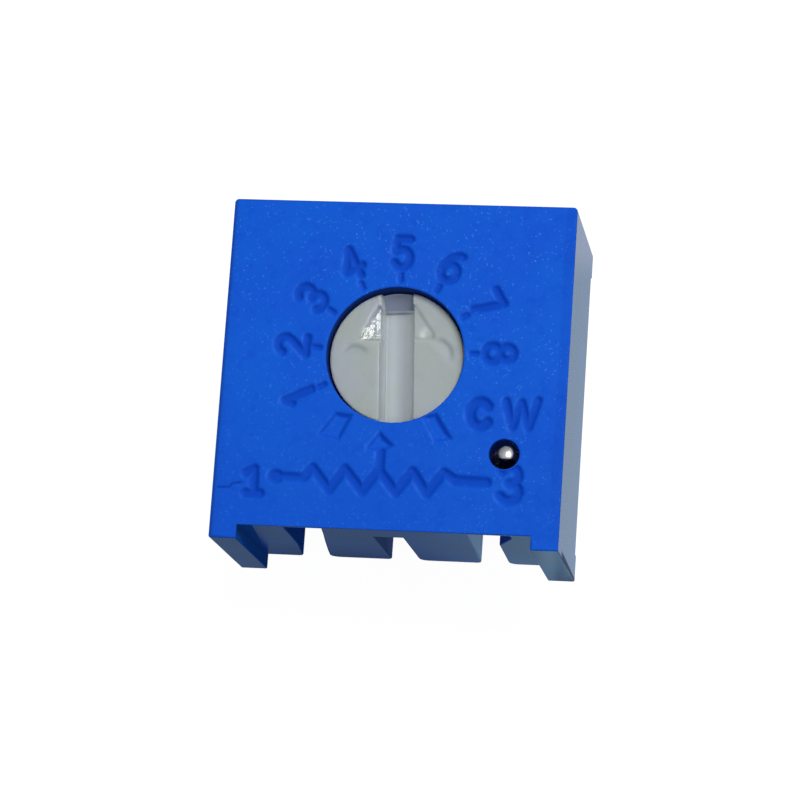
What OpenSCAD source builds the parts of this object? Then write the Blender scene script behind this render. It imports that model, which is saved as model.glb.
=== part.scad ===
// Square single-turn trimmer potentiometer, adjusted from the front, with three wire terminals at the back.
// Origin: on the rotor axis, in the plane of the circuit board that the standoffs sit on.
// +Z points out of the front face, +Y to the top edge, -Y to the edge with the feet and pin grooves.

/* [Housing] */
// Width of the square body
body_w = 9.53; // [9.3:0.01:9.8]
// Depth of the body, from the board to the front face
body_d = 4.83; // [4.8:0.01:5.2]
// Distance from the rotor axis to the top edge
axis_to_top = 4.285; // [4.2:0.005:4.5]
// Distance from the rotor axis to the underside between the feet
axis_to_underside = 4.865; // [4.8:0.005:5.0]
// Width of each corner foot and standoff
foot_w = 0.76; // [0.6:0.02:0.9]
// Height of the feet below the underside
foot_h = 0.38; // [0.2:0.02:0.5]
// Height of the standoffs behind the back rim
standoff_h = 0.25; // [0.15:0.01:0.3]
// Thickness of the front wall
front_wall = 0.88; // [0.8:0.01:0.9]

/* [Marks] */
// Depth of the symbol and the marks in the front face
mark_d = 0.1; // [0.05:0.01:0.2]
// Width of the symbol's lines
line_w = 0.23; // [0.15:0.01:0.26]

/* [Pin grooves] */
// Height of the grooves above the underside
groove_h = 0.95; // [0.8:0.01:1.0]
// Distance from the front face to the outer grooves
outer_groove_start = 0.18; // [0.15:0.01:0.4]
// Distance from the front face to the middle groove
middle_groove_start = 1.1; // [0.9:0.05:1.5]
// Width of a groove at the back
groove_w = 0.78; // [0.7:0.01:0.86]
// Radius of the lead-in at the back of each groove, on its right
lead_in_r = 0.28; // [0.15:0.01:0.34]

/* [Rotor] */
// Radius of the hole in the front face
bore_r = 1.895; // [1.87:0.005:1.92]
// Running clearance between the rotor and the hole
rotor_clearance = 0.055; // [0.03:0.005:0.08]
// Depth of the rotor's face below the front face
rotor_recess = 0.34; // [0.25:0.01:0.4]
// Width of the driver slot
slot_w = 0.88; // [0.7:0.01:0.95]
// Depth of the driver slot
slot_d = 0.75; // [0.6:0.01:0.8]
// Depth of the pointer notch where it meets the top end of the slot
notch_d = 0.57; // [0.42:0.01:0.6]
// Turn of the rotor from mid travel, anticlockwise seen from the front
rest_turn = 3.2; // [-20:0.1:20]
// Whole turn between the stops
travel = 290; // [270:1:292]

/* [Terminals] */
// Diameter of the terminal wires
wire_dia = 0.51; // [0.45:0.01:0.55]
// Length of the wires below the board plane
pin_length = 3.3; // [2.8:0.1:4.2]
// Grid that the terminals are set on
pitch = 2.54; // [2.5:0.01:2.58]
// Radius of the vent hole in the front face
vent_r = 0.41; // [0.38:0.01:0.43]

/* [Hidden] */
$fn = 64;
eps = 0.01;

wire_r = wire_dia / 2;
half_w = body_w / 2;
feet_y = -axis_to_underside - foot_h;
corner_r = 0.12;                                // radius of the body's upright edges

// Heights of the stack, from the board to the front
seal_z0 = 0.45;                                 // back surface of the seal
plate_z0 = 1.15;                                // back of the ceramic plate
plate_t = 0.64;
plate_z1 = plate_z0 + plate_t;                  // front of the ceramic plate, on the housing's ledge
film_t = 0.04;
film_z1 = plate_z1 + film_t;
wall_z = body_d - front_wall;                   // inner side of the front wall
rotor_z1 = body_d - rotor_recess;               // the rotor's face
flange_z0 = 2.45;
flange_z1 = 3.07;
boss_z0 = 3.66;                                 // inner end of the boss round the hole

// Radii about the rotor axis
rotor_r = bore_r - rotor_clearance;
flange_r = 3.05;
cavity_r = 3.5;
ring_r = 0.28;                                  // half the O-ring's section
ring_gap = 0.01;
lip_r0 = 2.48;                                  // lip that keeps the O-ring in place
lip_r1 = 2.95;
stop_r0 = 3.12;
lug_r = 3.4;
lug_half = 12;                                  // half the angle of the rotor's lug
stop_half = 180 - travel / 2 - lug_half - 0.5;  // half the angle of the housing's stop

// Back cavity that holds the ceramic plate and the seal
back_w = 7.6;
back_h = 7.3;
plate_gap = 0.06;

// Corner pocket, vent hole and the end of the wire that stands behind it
post = [3.064, -2.395];
pocket = [3.12, -2.54];
pocket_r = 0.6;
vent = [3.157, -2.655];
post_z1 = wall_z - 0.15;
form_z = 0.58;                                  // height in the seal where the wires are bent or beaded

// Resistive track and conductors
track_r0 = 2.0;
track_r1 = 2.7;
track_gap = 40;                                 // half the open angle at the bottom
contact_r = (track_r0 + track_r1) / 2;
collector_r = 1.15;
hole_gap = 0.035;

// Wiper spring
leaf_t = 0.08;
hub_r = 0.5;
finger_w = 0.2;
finger_pitch = 0.27;

// Sector of a disc between two angles, wider than any part it cuts
module sector(a0, a1, r = 10, steps = 12) {
    polygon(concat([[0, 0]], [for (i = [0:steps]) r * [cos(a0 + (a1 - a0) * i / steps),
                                                       sin(a0 + (a1 - a0) * i / steps)]]));
}

// Strip of even width along a bent line, with mitred corners
function corner_shift(p, i) = let (a = unit(p[i] - p[i - 1]), b = unit(p[i + 1] - p[i]), n = unit(a + b))
    [-n[1], n[0]] / (n * a);
module stroke(path, w) {
    last = len(path) - 1;
    shift = [for (i = [0:last]) (i == 0 || i == last ? side(path, i) : corner_shift(path, i)) * w / 2];
    polygon(concat([for (i = [0:last]) path[i] + shift[i]], [for (i = [last:-1:0]) path[i] - shift[i]]));
}

// Part of a ring between two angles
module ring_sector(r0, r1, a0, a1) {
    intersection() {
        difference() {
            circle(r1);
            circle(r0);
        }
        sector(a0, a1);
    }
}

// Rectangle with round corners
module round_rect(x0, x1, y0, y1, r) {
    translate([x0 + r, y0]) square([x1 - x0 - 2 * r, y1 - y0]);
    translate([x0, y0 + r]) square([x1 - x0, y1 - y0 - 2 * r]);
    for (x = [x0 + r, x1 - r], y = [y0 + r, y1 - r]) translate([x, y]) circle(r, $fn = 32);
}

// Strip of even thickness along a bent line in the X-Z plane, as wide as w along Y
function unit(v) = v / norm(v);
function side(p, i) = let (a = p[max(i - 1, 0)], b = p[min(i + 1, len(p) - 1)], d = unit(b - a)) [-d[1], d[0]];
module leaf(path, t, w) {
    last = len(path) - 1;
    rotate([90, 0, 0]) linear_extrude(w, center = true)
        polygon(concat([for (i = [0:last]) path[i] + side(path, i) * t / 2],
                       [for (i = [last:-1:0]) path[i] - side(path, i) * t / 2]));
}

// ---- Housing ----

// Outline of the body with its two feet
module body_outline() {
    round_rect(-half_w, half_w, -axis_to_underside, axis_to_top, corner_r);
    for (x = [-half_w, half_w - foot_w])
        translate([x, feet_y]) square([foot_w, foot_h + 2 * corner_r]);
}

// Corner pads that hold the body off the board
module standoffs() {
    linear_extrude(standoff_h + eps) intersection() {
        body_outline();
        for (x = [-half_w, half_w - foot_w], y = [feet_y, axis_to_top - foot_w])
            translate([x, y]) square(foot_w);
    }
}

// The space inside: a square well from the back, a round chamber for the rotor and two corner pockets
module inner_space() {
    translate([0, 0, -eps]) linear_extrude(plate_z1 + eps)
        round_rect(-back_w / 2, back_w / 2, -back_h / 2, back_h / 2, 0.3);
    translate([0, 0, plate_z1 - eps]) cylinder(h = wall_z - plate_z1 + eps, r = cavity_r, $fn = 96);
    for (s = [-1, 1])
        translate([s * pocket[0], pocket[1], plate_z1 - eps]) cylinder(h = wall_z - plate_z1 + eps, r = pocket_r);
}

// Boss round the hole, with the lip that keeps the O-ring in place
module bore_boss() {
    rotate_extrude($fn = 96) polygon([
        [bore_r - 0.1, wall_z + eps], [bore_r - 0.1, boss_z0], [lip_r0, boss_z0],
        [lip_r0, flange_z1 + 0.06], [lip_r1, flange_z1 + 0.06], [lip_r1, wall_z + eps]]);
}

// Stop that the rotor's lug meets at both ends of its turn
module turn_stop() {
    translate([0, 0, flange_z0 - 0.1]) linear_extrude(wall_z - flange_z0 + 0.1 + eps)
        ring_sector(stop_r0, cavity_r + 0.2, 270 - stop_half, 270 + stop_half);
}

// One groove in the underside, from its plan: X against the distance from the front face
module groove(plan) {
    translate([0, -axis_to_underside + groove_h, body_d]) rotate([90, 0, 0]) mirror([0, 1, 0])
        linear_extrude(groove_h + 1) polygon(plan);
}

// Back ends of a groove's sides, which flare with a rounded lead-in to the back rim
function lead_in(x, r) = let (rim = body_d - standoff_h)
    [for (t = [0:15:90]) [x + r * (1 - cos(t)), rim - abs(r) * (1 - sin(t))]];
function groove_back(x0, x1) = let (right = lead_in(x1, lead_in_r), left = lead_in(x0, -lead_in_r / 2))
    concat(right, [[x1 + lead_in_r, body_d + eps], [x0 - lead_in_r / 2, body_d + eps]],
           [for (i = [len(left) - 1:-1:0]) left[i]]);

// The two outer grooves run nearly to the front face and flare to the right there
module pin_grooves() {
    start = outer_groove_start;
    half = groove_w / 2;
    groove(concat([[-pitch - 0.2, start], [-1.72, start], [-1.8, 1], [-1.93, 2.1], [half - pitch + 0.06, 3.6]],
                  groove_back(-pitch - half, half - pitch), [[-pitch - 0.24, 2.7]]));
    groove(concat([[-half, middle_groove_start], [half, middle_groove_start]], groove_back(-half, half)));
    groove(concat([[pitch - 0.27, start], [3.42, start], [3.42, 0.6], [pitch + 0.44, 1.65]],
                  groove_back(pitch - half, pitch + half)));
}

// Symbol of a variable resistor, with its wiper arrow and both end terminals
module symbol() {
    top = -3.22;
    low = -3.81;
    stroke([[-3.03, -3.49], [-2.3, -3.49], [-2.04, top], [-1.55, low], [-1.15, top], [-0.65, low],
            [-0.22, top], [0.27, low], [0.7, top], [1.12, low], [1.55, top], [1.9, -3.43], [2.75, -3.43]], line_w);
    translate([-3.03, -3.49]) circle(line_w * 0.8, $fn = 32);
    translate([2.75, -3.43]) circle(line_w / 2, $fn = 32);
    polygon([[-0.32, top], [-0.08, top], [0, -2.63], [0.12, -2.54], [-0.28, -2.17], [-0.58, -2.62], [-0.4, -2.65]]);
}

// Marks where the pointer stops at both ends of its turn, and ticks at ten even steps between them
module dial_marks() {
    polygon([[-1.93, -2.28], [-1.5, -1.68], [-1.06, -1.73], [-1.37, -2.4]]);
    polygon([[0.88, -1.69], [1.25, -1.61], [1.7, -2.29], [1.26, -2.34]]);
    for (k = [1:8]) rotate([0, 0, 234.5 - k * travel / 10]) translate([2.09, -0.06]) square([0.2, 0.12]);
}

module housing() {
    color("royalblue") difference() {
        union() {
            difference() {
                translate([0, 0, standoff_h]) linear_extrude(body_d - standoff_h) body_outline();
                inner_space();
            }
            standoffs();
            bore_boss();
            turn_stop();
        }
        translate([0, 0, boss_z0 - eps]) cylinder(h = body_d, r = bore_r, $fn = 96);
        translate([vent[0], vent[1], wall_z - eps]) cylinder(h = body_d, r = vent_r);
        translate([0, 0, body_d - mark_d]) linear_extrude(1) symbol();
        translate([0, 0, body_d - mark_d]) linear_extrude(1) dial_marks();
        pin_grooves();
    }
}

// ---- Rotor ----

// Plan of the arrowhead that is sunk beside the slot
module arrowhead() {
    polygon([[-1, 0.53], [1, 0.53], [1.02, 0.6], [0.5, 1.45], [-0.5, 1.45], [-1.02, 0.6]]);
}

// Driver slot, open at its lower end, with the sloping notch that points at the setting
module driver_slot() {
    slot_end = 1.44;
    rise = notch_d + slot_end - rotor_r;
    translate([-slot_w / 2, -rotor_r - 1, rotor_z1 - slot_d]) cube([slot_w, rotor_r + 1 + slot_end, slot_d + 1]);
    translate([-slot_w / 2 + 0.02, 0, rotor_z1]) rotate([90, 0, 90]) linear_extrude(slot_w - 0.04)
        polygon([[0, 1], [0, -notch_d], [slot_end, -notch_d], [rotor_r + 0.2, 0.2 - rise], [rotor_r + 0.2, 1]]);
    translate([0, 0, rotor_z1 - 0.05]) linear_extrude(1) arrowhead();
}

module rotor() {
    color("lightgray") rotate([0, 0, rest_turn]) {
        difference() {
            union() {
                translate([0, 0, flange_z0]) cylinder(h = rotor_z1 - flange_z0, r = rotor_r, $fn = 96);
                translate([0, 0, flange_z0]) cylinder(h = flange_z1 - flange_z0, r = flange_r, $fn = 96);
                translate([0, 0, flange_z0]) linear_extrude(flange_z1 - flange_z0)
                    ring_sector(flange_r - 0.2, lug_r, 90 - lug_half, 90 + lug_half);
            }
            driver_slot();
        }
        rivet_z1 = flange_z0 - leaf_t;
        translate([0, 0, rivet_z1 - 0.02]) cylinder(h = leaf_t + 0.04, r = hub_r);
        translate([0, 0, rivet_z1 - 0.1]) cylinder(h = 0.1, r = hub_r + 0.22);
    }
}

module o_ring() {
    color("#202225") translate([0, 0, flange_z1 + ring_gap + ring_r + 0.01]) rotate_extrude($fn = 96)
        translate([rotor_r + ring_gap + ring_r, 0]) circle(ring_r, $fn = 32);
}

// ---- Wiper ----

// Row of parallel fingers that share one bent line
module comb(path, count) {
    for (i = [0:count - 1])
        translate([0, (i - (count - 1) / 2) * finger_pitch, 0]) leaf(path, leaf_t, finger_w);
}

// Ring held under the rotor, with one comb on the track and one folded back to the collector
module wiper() {
    top = flange_z0 - leaf_t / 2;
    touch = film_z1 + 0.015 + leaf_t / 2;
    outer_line = [[1.05, top], [1.7, top - 0.06], [contact_r - 0.15, touch + 0.06],
                  [contact_r, touch], [contact_r + 0.15, touch + 0.07]];
    inner_line = [[1.05, top], [1.36, top - 0.02], [1.47, top - 0.14], [1.38, top - 0.27],
                  [0.95, touch + 0.03], [0.8, touch], [0.66, touch + 0.05]];
    color("goldenrod") rotate([0, 0, rest_turn + 90]) {
        translate([0, 0, flange_z0 - leaf_t]) difference() {
            cylinder(h = leaf_t, r = 1.25);
            translate([0, 0, -eps]) cylinder(h = leaf_t + 2 * eps, r = hub_r + 0.01);
        }
        comb(outer_line, 4);
        rotate([0, 0, 180]) comb(inner_line, 3);
    }
}

// ---- Element ----

// Flat shape laid on the front of the ceramic plate
module film() {
    translate([0, 0, plate_z1]) linear_extrude(film_t) children();
}

module ceramic_substrate() {
    hw = back_w / 2 - plate_gap;
    hh = back_h / 2 - plate_gap;
    color("ivory") difference() {
        translate([0, 0, plate_z0]) linear_extrude(plate_t) round_rect(-hw, hw, -hh, hh, 0.3);
        for (p = [[-post[0], post[1]], [0, 0], post])
            translate([p[0], p[1], 0]) cylinder(h = body_d, r = wire_r + hole_gap);
    }
}

module track_plan() {
    ring_sector(track_r0, track_r1, 270 + track_gap, 450);
    ring_sector(track_r0, track_r1, 90, 270 - track_gap);
}

module resistive_track() {
    color("#2b2b2b") film() track_plan();
}

module collector_pad() {
    color("silver") film() difference() {
        circle(collector_r);
        circle(wire_r + hole_gap);
    }
}

// Conductor from the end of the track out to its terminal, on the right-hand side
module end_pad() {
    color("silver") film() difference() {
        intersection() {
            union() {
                ring_sector(track_r0 - 0.05, track_r1 + 0.05, 256 + track_gap, 270 + track_gap);
                polygon([[1.1, -2.3], [1.25, -2.62], [post[0], post[1] - 0.4], [post[0], post[1] + 0.4], [1.8, -2.2]]);
                translate(post) circle(0.42);
            }
            union() {
                circle(cavity_r - 0.05);
                translate(pocket) circle(pocket_r - 0.02);
            }
        }
        track_plan();
        translate(post) circle(wire_r + hole_gap);
    }
}

module end_pad_1() { mirror([1, 0, 0]) end_pad(); }
module end_pad_3() { end_pad(); }

// ---- Terminals ----

// Straight pin with a chamfered tip, from its tip up to z1
module pin(x, y, z1, r) {
    chamfer = 0.08;
    translate([x, y, -pin_length]) rotate_extrude($fn = 48)
        polygon([[0, 0], [r - chamfer, 0], [r, chamfer], [r, z1 + pin_length], [0, z1 + pin_length]]);
}

// Post with a domed end that stands on the link and comes up in the corner pocket
module domed_post(z0, r) {
    h = post_z1 - z0;
    translate([post[0], post[1], z0]) rotate_extrude($fn = 48)
        polygon(concat([[0, 0], [r, 0]], [for (t = [0:15:90]) [r * cos(t), h - r + r * sin(t)]]));
}

// End terminal on the right: the wire is pressed flat where it steps sideways inside the seal
module end_terminal(r) {
    link_t = 0.2;
    step = [post[0] - pitch, post[1] + pitch];
    pin(pitch, -pitch, form_z, r);
    translate([pitch, -pitch, form_z]) rotate([0, 0, atan2(step[1], step[0])])
        translate([-r - 0.04, -r - 0.04, 0]) cube([norm(step) + 2 * r + 0.08, 2 * r + 0.08, link_t]);
    domed_post(form_z + link_t, r);
}

// Middle terminal: a straight pin with a swaged collar in the seal and a slightly tapered end in the plate
module middle_terminal(r) {
    collar_t = 0.2;
    pin(0, 0, form_z, r);
    translate([0, 0, form_z]) rotate_extrude($fn = 48)
        polygon([[0, 0], [r + 0.12, 0], [r + 0.1, collar_t], [r, collar_t],
                 [r - 0.02, film_z1 - form_z], [0, film_z1 - form_z]]);
}

module terminal_1() { color("silver") mirror([1, 0, 0]) end_terminal(wire_r); }
module terminal_2() { color("silver") middle_terminal(wire_r); }
module terminal_3() { color("silver") end_terminal(wire_r); }

// Hollow cone of solder round a wire, h high and r wide at its foot
module solder_cone(r, h) {
    inner = wire_r + 0.005;
    rotate_extrude() polygon(concat([[inner, 0]], [for (t = [0:0.25:1]) [r - (r - inner - 0.03) * sin(90 * t),
                                                                          h * (1 - cos(90 * t))]], [[inner, h]]));
}

module end_solder() {
    color("gainsboro") translate([post[0], post[1], film_z1]) solder_cone(0.41, 0.26);
}

module solder_joint_1() { mirror([1, 0, 0]) end_solder(); }
module solder_joint_2() { color("gainsboro") translate([0, 0, plate_z0]) mirror([0, 0, 1]) solder_cone(0.46, 0.28); }
module solder_joint_3() { end_solder(); }

// Resin that closes the back, cast round the terminals
module epoxy_seal() {
    color("#1c2c5c") difference() {
        translate([0, 0, seal_z0]) linear_extrude(plate_z0 - seal_z0)
            round_rect(-back_w / 2, back_w / 2, -back_h / 2, back_h / 2, 0.3);
        for (s = [0, 1]) mirror([s, 0, 0]) end_terminal(wire_r + 0.005);
        middle_terminal(wire_r + 0.005);
        translate([0, 0, plate_z0 + eps]) mirror([0, 0, 1]) cylinder(h = 0.3 + eps, r1 = 0.48, r2 = 0.34);
    }
}

housing();
rotor();
o_ring();
wiper();
ceramic_substrate();
resistive_track();
collector_pad();
end_pad_1();
end_pad_3();
terminal_1();
terminal_2();
terminal_3();
solder_joint_1();
solder_joint_2();
solder_joint_3();
epoxy_seal();
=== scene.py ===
import math

import bmesh
import bpy
import numpy as np
from mathutils import Matrix, Vector
from mathutils.geometry import delaunay_2d_cdt


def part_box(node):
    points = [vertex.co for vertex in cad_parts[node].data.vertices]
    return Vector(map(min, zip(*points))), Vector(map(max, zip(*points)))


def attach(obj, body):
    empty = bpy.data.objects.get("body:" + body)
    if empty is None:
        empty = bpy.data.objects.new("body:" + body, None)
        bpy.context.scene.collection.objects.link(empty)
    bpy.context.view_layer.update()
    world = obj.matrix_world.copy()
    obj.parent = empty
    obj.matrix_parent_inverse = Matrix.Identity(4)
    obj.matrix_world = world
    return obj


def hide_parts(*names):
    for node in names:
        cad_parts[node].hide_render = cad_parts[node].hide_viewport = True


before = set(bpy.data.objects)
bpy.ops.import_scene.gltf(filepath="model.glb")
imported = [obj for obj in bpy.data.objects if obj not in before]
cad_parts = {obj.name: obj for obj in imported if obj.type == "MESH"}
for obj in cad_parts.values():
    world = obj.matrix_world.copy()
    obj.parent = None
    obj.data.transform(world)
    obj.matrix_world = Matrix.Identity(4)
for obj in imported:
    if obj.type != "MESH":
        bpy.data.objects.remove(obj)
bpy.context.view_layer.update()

# Lengths below are in millimetres; MM turns them into metres.
MM = 0.001
CASE, TURNING = "case", "turning"


def mm(corner):
    return [c / MM for c in corner]


LEFT_X, LOW_Y, _ = mm(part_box("housing")[0])
RIGHT_X, TOP_Y, FRONT_Z = mm(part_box("housing")[1])
ROTOR_Z = mm(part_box("rotor")[1])[2]
TIP_Z = mm(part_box("terminal_2")[0])[2]

# The blocks between the feet end above the feet
FOOT_H = 0.38
UNDERSIDE_Y = LOW_Y + FOOT_H

# Hole in the front face, the rotor's head in it, and the head's turn from mid travel
BORE_R = 1.895
HEAD_R = 1.84
REST_TURN = math.radians(3.2)
# Middle and radius of the vent hole
VENT = (3.157, -2.655)
VENT_R = 0.41


# ---------------------------------------------------------------- finishes

class Level:
    """A shader socket that takes part in ordinary arithmetic, one Math node for each operation."""

    def __init__(self, nodes, socket):
        self.nodes, self.socket = nodes, socket

    def work(self, operation, first, second):
        return self.nodes.node("ShaderNodeMath", {"operation": operation}, {0: first, 1: second})

    def __add__(self, other): return self.work("ADD", self, other)
    def __radd__(self, other): return self.work("ADD", other, self)
    def __sub__(self, other): return self.work("SUBTRACT", self, other)
    def __rsub__(self, other): return self.work("SUBTRACT", other, self)
    def __mul__(self, other): return self.work("MULTIPLY", self, other)
    def __rmul__(self, other): return self.work("MULTIPLY", other, self)
    def __pow__(self, other): return self.work("POWER", self, other)
    def most(self, other): return self.work("MAXIMUM", self, other)

    def step(self, low, high, to_low=0.0, to_high=1.0):
        """Smooth change from to_low to to_high while this level goes from low to high."""
        return self.nodes.node("ShaderNodeMapRange", {"interpolation_type": "SMOOTHSTEP"},
                               {"Value": self, "From Min": low, "From Max": high,
                                "To Min": to_low, "To Max": to_high})


class Nodes:
    """Makes nodes in one tree."""

    def __init__(self, tree):
        self.tree = tree

    def feed(self, inputs, values):
        """A link or a plain value for each named input."""
        for key, value in values.items():
            if isinstance(value, Level):
                self.tree.links.new(value.socket, inputs[key])
            else:
                inputs[key].default_value = value

    def node(self, kind, settings=None, values=None, output=0):
        """Adds a node: its settings first, then a value or a link for each named input."""
        made = self.tree.nodes.new(kind)
        for setting, value in (settings or {}).items():
            setattr(made, setting, value)
        self.feed(made.inputs, values or {})
        return Level(self, made.outputs[output])

    def vector(self, operation, first, second):
        return self.node("ShaderNodeVectorMath", {"operation": operation}, {0: first, 1: second})

    def parts(self, vector):
        apart = self.node("ShaderNodeSeparateXYZ", None, {0: vector})
        return [Level(self, out) for out in apart.socket.node.outputs]

    def blend(self, amount, first, second):
        """Mix of two colours."""
        return self.node("ShaderNodeMix", {"data_type": "RGBA"}, {0: amount, 6: first, 7: second}, output=2)

    def layered(self, base, *coats):
        """Coats of (amount, colour) over a base colour, one after another."""
        for amount, colour in coats:
            base = self.blend(amount, base, colour)
        return base


class Finish(Nodes):
    """One procedural material with a Principled surface."""

    def __init__(self, name, **surface):
        self.material = bpy.data.materials.new(name)
        self.material.use_nodes = True
        super().__init__(self.material.node_tree)
        self.tree.nodes.clear()
        out = self.tree.nodes.new("ShaderNodeOutputMaterial")
        self.surface = self.tree.nodes.new("ShaderNodeBsdfPrincipled")
        self.tree.links.new(self.surface.outputs["BSDF"], out.inputs["Surface"])
        self.feed(self.surface.inputs, {socket.replace("_", " "): value for socket, value in surface.items()})

    def drive(self, socket, level):
        self.feed(self.surface.inputs, {socket: level})

    def place(self, scale=(1, 1, 1)):
        """Where a point is on its piece, in millimetres, stretched by scale."""
        spot = self.node("ShaderNodeTexCoord", output="Object")
        return self.vector("MULTIPLY", spot, tuple(s / MM for s in scale))

    def facing(self):
        """How far a surface faces to the right, to the top edge and to the front."""
        return self.parts(self.node("ShaderNodeNewGeometry", output="True Normal"))

    def stored(self, *names):
        """Levels kept on the vertices of the mesh."""
        return [self.node("ShaderNodeAttribute", {"attribute_name": name}, output="Fac") for name in names]

    def grain(self, place, scale, detail=3.0, roughness=0.55):
        return self.node("ShaderNodeTexNoise", None,
                         {"Vector": place, "Scale": scale, "Detail": detail, "Roughness": roughness})

    def bent(self, place, amount, scale):
        """The same place, pushed about a little so that what is laid there isn't regular."""
        push = self.node("ShaderNodeTexNoise", None, {"Vector": place, "Scale": scale}, output="Color")
        centred = self.vector("SUBTRACT", push, (0.5, 0.5, 0.5))
        return self.vector("ADD", place, self.vector("MULTIPLY", centred, (amount,) * 3))

    def cells(self, place, scale):
        return self.node("ShaderNodeTexVoronoi", None, {"Vector": place, "Scale": scale})

    def relief(self, height, depth_mm, under=None):
        """Bump whose height of 1 stands depth_mm proud; under is relief that it lies on."""
        values = {"Height": height, "Distance": depth_mm * MM, "Strength": 1.0}
        if under is not None:
            values["Normal"] = under
        return self.node("ShaderNodeBump", None, values)


def rgb(*screen):
    """Linear colour from 0-255 screen values."""
    linear = [((c / 255 + 0.055) / 1.055) ** 2.4 if c > 10 else c / 255 / 12.92 for c in screen]
    return tuple(linear) + (1.0,)


# The moulding's bare skin on the sides and on the front, and the colours of its bloom
SKIN, FRONT_SKIN, BLOOM = rgb(0, 53, 172), rgb(2, 60, 174), rgb(6, 82, 202)
CLOUD, LOW_BLOOM, CHALK = rgb(4, 93, 206), rgb(2, 72, 184), rgb(16, 86, 204)
THIN_BLOOM, DUST, PAINTED_GLINT = rgb(0, 70, 191), rgb(28, 100, 218), rgb(62, 128, 234)
SIDE_CLOUD, SCUFF = rgb(2, 68, 196), rgb(40, 104, 214)
# Painted shade: shaded places of the front, the walls of the pin grooves, the hollows, and the right foot's
# low edge and tip
SHADE, GROOVE_SHADE, HOLLOW_SHADE, LOW_EDGE_SHADE = rgb(6, 46, 110), rgb(0, 60, 150), rgb(2, 84, 170), rgb(6, 40, 100)
# Painted glow: a faint blue emission over all of the blue plastic, so that even its shaded places keep some
# blue. It stands in for light scattered in the plastic, which is a little see-through.
PAINTED_BLUE_GLOW = (0.0006, 0.0025, 0.022, 1)


def moulded_blue():
    """Blue polyester. Its eroded front has a pale bloom with flecks that stand a little proud and carry a
    painted glint; side faces are smooth. Shade under the part and along some edges is painted into its
    colour, and a painted blue glow lies over all of it.
    """
    f = Finish("moulded_blue", IOR=1.5, Specular_IOR_Level=0.09, Emission_Strength=1.0,
               Emission_Color=PAINTED_BLUE_GLOW)
    place, facing = f.place(), f.facing()
    spot = f.parts(place)
    x, y, _ = spot
    front = facing[2].step(0.25, 0.7)
    polished, shade, lip = f.stored("polished", "shade", "lip")
    # polished holds bare skin on mark floors, in the border and in the scratch, and painted shade under the
    # upper right edges of marks; both take the bloom off
    bloom = front * (1 - polished)
    wide = f.grain(place, 0.5, 2.0)
    fine = f.grain(place, 9.0, 4.0)
    # The flecks stand a little proud in the relief; their light colour is a painted glint, more of it towards
    # the upper right, where the key light comes from
    flecks = fleck_field(f, place) * (x * 0.6 + y).step(-4.5, 3.5, 0.35, 1.0) * bloom
    groove_wall_shade, hollow_shade, low_edge_shade, foot_tip_shade = underside_painted_shade(spot, facing)
    base = f.layered(
        bloomed(f, place, spot, bloom, f.blend(front, SKIN, FRONT_SKIN), wide, fine),
        # Painted highlight: glints on the flecks, and the lips outside the left edges of marks
        ((flecks * 0.75).most(lip * 0.38), PAINTED_GLINT),
        (wide.step(0.35, 0.65) * (1 - front), SIDE_CLOUD),
        (scuffs(f, wide) * (1 - front) * 0.3, SCUFF),
        (shade, SHADE),
        # Painted shade on the walls of the pin grooves, in the hollows and on the right foot's low edge and
        # tip
        (groove_wall_shade, GROOVE_SHADE),
        (hollow_shade, HOLLOW_SHADE),
        (low_edge_shade.most(foot_tip_shade), LOW_EDGE_SHADE))
    f.drive("Base Color", base)
    skin_gloss = front.step(0, 1, 0.22, 0.62) + fine.step(0.3, 0.7, 0.0, 0.08) * front
    dulled = (low_edge_shade * 0.55).most(foot_tip_shade * 0.45).most(hollow_shade * 0.85)
    f.drive("Roughness", skin_gloss.most(shade * 0.8).most(polished * front).most(dulled))
    f.drive("Normal", f.relief(flecks, 0.01, f.relief(fine * front, 0.003)))
    return f.material


def bloomed(f, place, spot, bloom, skin, wide, fine):
    """Colour of the skin where the bloom lies on it: clouds, chalky and thin places, and fine dust."""
    x, y, _ = spot
    mottle = f.grain(place, 2.6, 4.0, 0.65)
    to_right = (x + y * 0.3).step(-3.5, 4.0)
    return f.layered(
        skin,
        (bloom, BLOOM),
        (wide.step(0.35, 0.7) * bloom * 0.5, CLOUD),
        (y.step(1.0, -4.5, 0.0, 0.3) * bloom, LOW_BLOOM),
        (mottle.step(0.42, 0.7) * to_right * bloom * 0.5, CHALK),
        (mottle.step(0.5, 0.25) * bloom * 0.5, THIN_BLOOM),
        (fine.step(0.52, 0.78) * bloom * 0.3, DUST))


def scuffs(f, wide):
    """Short light rubs, gathered in some places."""
    drawn = f.bent(f.place((1, 1, 0.3)), 0.6, 1.2)
    return f.cells(drawn, 2.4).step(0.12, 0.03) * wide.step(0.45, 0.65)


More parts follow.
